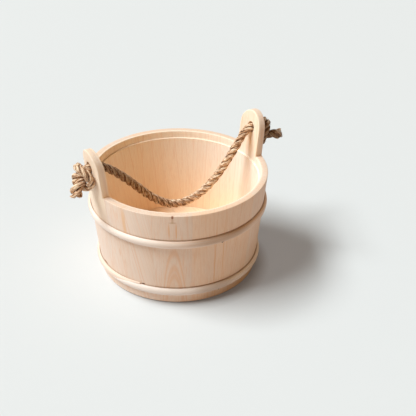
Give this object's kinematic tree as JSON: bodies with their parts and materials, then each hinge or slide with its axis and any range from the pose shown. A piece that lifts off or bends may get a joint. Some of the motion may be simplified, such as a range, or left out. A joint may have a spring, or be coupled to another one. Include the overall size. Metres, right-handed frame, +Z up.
{
  "type": "sauna bucket",
  "caption": "Round staved wooden sauna bucket with half-round wooden hoops, a grooved-in boarded floor, raised ears and a knotted rope handle that hangs inside and swings over the top.",
  "frame": {"origin": "centre of the foot, on the surface that the bucket stands on", "axes": "+Z up, +X from the middle of the bucket through the rope hole of the right ear"},
  "size_m": [0.3322, 0.2614, 0.215],
  "materials": {
    "stave_pine": "planed and sanded softwood, unvarnished",
    "floor_pine": "planed softwood, unvarnished",
    "hoop_pine": "half-round moulded softwood strip, unvarnished",
    "dowel_beech": "turned hardwood pin",
    "brad_steel": "dull dark wire pin",
    "rope_jute": "three-strand laid natural fibre rope"
  },
  "bodies": {
    "bucket": {"stave_back_1": "stave_pine", "stave_back_2": "stave_pine", "stave_back_3": "stave_pine", "stave_back_4": "stave_pine", "stave_back_5": "stave_pine", "stave_back_6": "stave_pine", "stave_back_7": "stave_pine", "stave_front_1": "stave_pine", "stave_front_2": "stave_pine", "stave_front_3": "stave_pine", "stave_front_4": "stave_pine", "stave_front_5": "stave_pine", "stave_front_6": "stave_pine", "stave_front_7": "stave_pine", "ear_stave_right": "stave_pine", "ear_stave_left": "stave_pine", "floor_board_1": "floor_pine", "floor_board_2": "floor_pine", "floor_board_3": "floor_pine", "floor_dowel_1": "dowel_beech", "floor_dowel_2": "dowel_beech", "floor_dowel_3": "dowel_beech", "floor_dowel_4": "dowel_beech", "upper_hoop": "hoop_pine", "lower_hoop": "hoop_pine", "upper_hoop_brad_front": "brad_steel", "upper_hoop_brad_back": "brad_steel", "lower_hoop_brad_front": "brad_steel", "lower_hoop_brad_back": "brad_steel", "rope_knot_right": "rope_jute", "rope_knot_left": "rope_jute"},
    "rope_handle": {"rope_span": "rope_jute"}
  },
  "joints": [
    {"name": "rope_swing", "type": "hinge", "parent": "bucket", "child": "rope_handle", "pos_m": [0, 0, 0.19], "axis": [1, 0, 0], "range_deg": [-180, 180]}
  ]
}
